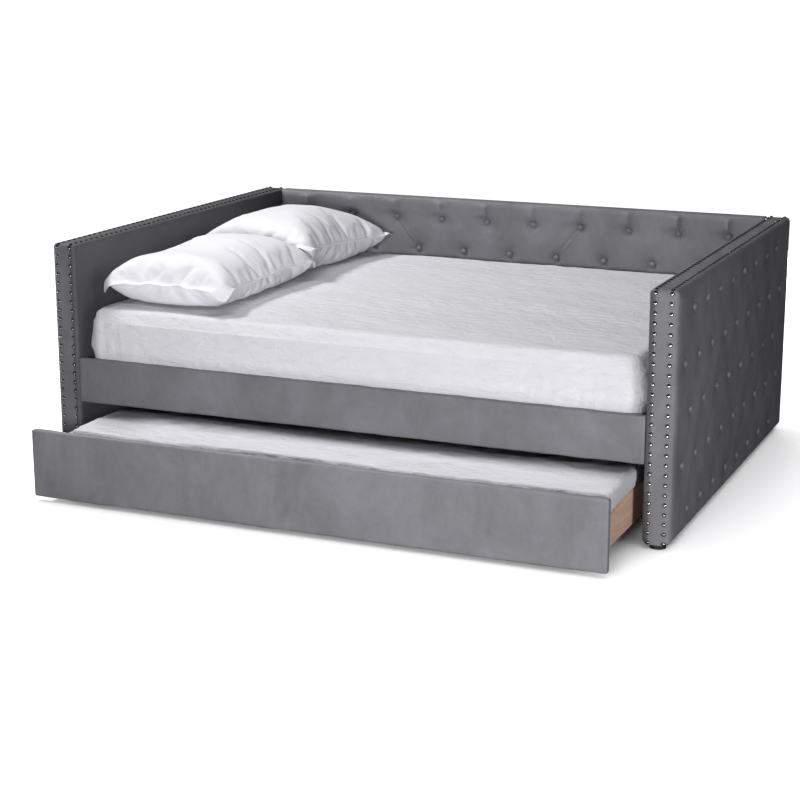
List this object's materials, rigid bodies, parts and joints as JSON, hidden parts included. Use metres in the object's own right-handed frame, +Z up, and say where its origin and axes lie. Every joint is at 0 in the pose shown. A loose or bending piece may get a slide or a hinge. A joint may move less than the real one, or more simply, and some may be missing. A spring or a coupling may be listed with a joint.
{
  "type": "trundle bed",
  "caption": "Upholstered day bed with button-tufted back and arms, nailhead trim, slatted base, mattress and pillows, and a wheeled trundle with its own mattress that rolls out in front.",
  "frame": {"origin": "on the floor, under the middle of the bed and its trundle with the trundle 332 mm out", "axes": "+X along the bed to the right-hand arm, -Y the front where the trundle comes out, +Z up"},
  "size_m": [2.28, 2.002, 0.85],
  "materials": {
    "grey_velvet": "matte",
    "nail_nickel": "polished",
    "black_plastic": "satin",
    "pale_wood": "satin",
    "plywood": "matte",
    "wheel_plastic": "satin",
    "zinc_steel": "satin",
    "white_sheet": "matte",
    "white_cotton": "matte"
  },
  "bodies": {
    "bed": {"back_bolts": "zinc_steel", "back_buttons": "grey_velvet", "back_pad": "grey_velvet", "back_ply": "plywood", "back_posts": "pale_wood", "back_rails": "pale_wood", "back_rear_cover": "grey_velvet", "back_top_band": "grey_velvet", "beam_hangers": "zinc_steel", "bed_slats": "pale_wood", "centre_beam": "pale_wood", "frame_bolts": "zinc_steel", "front_ledger": "pale_wood", "front_rail_board": "pale_wood", "front_rail_cover": "grey_velvet", "left_arm_buttons": "grey_velvet", "left_arm_edge_band": "grey_velvet", "left_arm_feet": "black_plastic", "left_arm_inner_pad": "grey_velvet", "left_arm_inner_ply": "plywood", "left_arm_nailheads": "nail_nickel", "left_arm_outer_pad": "grey_velvet", "left_arm_outer_ply": "plywood", "left_arm_posts": "pale_wood", "left_arm_rails": "pale_wood", "rail_brackets": "zinc_steel", "rail_screws": "zinc_steel", "rear_ledger": "pale_wood", "rear_rail": "pale_wood", "right_arm_buttons": "grey_velvet", "right_arm_edge_band": "grey_velvet", "right_arm_feet": "black_plastic", "right_arm_inner_pad": "grey_velvet", "right_arm_inner_ply": "plywood", "right_arm_nailheads": "nail_nickel", "right_arm_outer_pad": "grey_velvet", "right_arm_outer_ply": "plywood", "right_arm_posts": "pale_wood", "right_arm_rails": "pale_wood"},
    "trundle": {"caster_axles": "zinc_steel", "caster_forks": "zinc_steel", "caster_plates": "zinc_steel", "caster_screws": "zinc_steel", "trundle_back_board": "pale_wood", "trundle_cleats": "pale_wood", "trundle_front_board": "pale_wood", "trundle_front_cover": "grey_velvet", "trundle_left_board": "pale_wood", "trundle_mattress": "white_sheet", "trundle_right_board": "pale_wood", "trundle_slats": "pale_wood"},
    "mattress": {"mattress": "white_sheet"},
    "front_pillow": {"front_pillow": "white_cotton"},
    "rear_pillow": {"rear_pillow": "white_cotton"},
    "caster_wheel_front_left": {"caster_wheel_front_left": "wheel_plastic"},
    "caster_wheel_front_right": {"caster_wheel_front_right": "wheel_plastic"},
    "caster_wheel_rear_left": {"caster_wheel_rear_left": "wheel_plastic"},
    "caster_wheel_rear_right": {"caster_wheel_rear_right": "wheel_plastic"}
  },
  "joints": [
    {"name": "trundle_pull", "type": "slide", "parent": "bed", "child": "trundle", "axis": [0, -1, 0], "range_m": [-0.332, 0.72]},
    {"name": "roll_front_left", "type": "hinge", "parent": "trundle", "child": "caster_wheel_front_left", "pos_m": [-0.9, -0.945, 0.025], "axis": [1, 0, 0], "continuous": true},
    {"name": "roll_front_right", "type": "hinge", "parent": "trundle", "child": "caster_wheel_front_right", "pos_m": [0.9, -0.945, 0.025], "axis": [1, 0, 0], "continuous": true},
    {"name": "roll_rear_left", "type": "hinge", "parent": "trundle", "child": "caster_wheel_rear_left", "pos_m": [-0.9, -0.005, 0.025], "axis": [1, 0, 0], "continuous": true},
    {"name": "roll_rear_right", "type": "hinge", "parent": "trundle", "child": "caster_wheel_rear_right", "pos_m": [0.9, -0.005, 0.025], "axis": [1, 0, 0], "continuous": true},
    {"name": "mattress_lift", "type": "slide", "parent": "bed", "child": "mattress", "axis": [0, 0, 1], "range_m": [0, 0.5]},
    {"name": "front_pillow_lift", "type": "slide", "parent": "mattress", "child": "front_pillow", "axis": [0, 0, 1], "range_m": [0, 0.3]},
    {"name": "rear_pillow_lift", "type": "slide", "parent": "front_pillow", "child": "rear_pillow", "axis": [0, 0, 1], "range_m": [0, 0.3]}
  ],
  "couplings": [
    {"joint": "roll_front_left", "follows": "trundle_pull", "rad_per_m": 40},
    {"joint": "roll_front_right", "follows": "trundle_pull", "rad_per_m": 40},
    {"joint": "roll_rear_left", "follows": "trundle_pull", "rad_per_m": 40},
    {"joint": "roll_rear_right", "follows": "trundle_pull", "rad_per_m": 40}
  ]
}
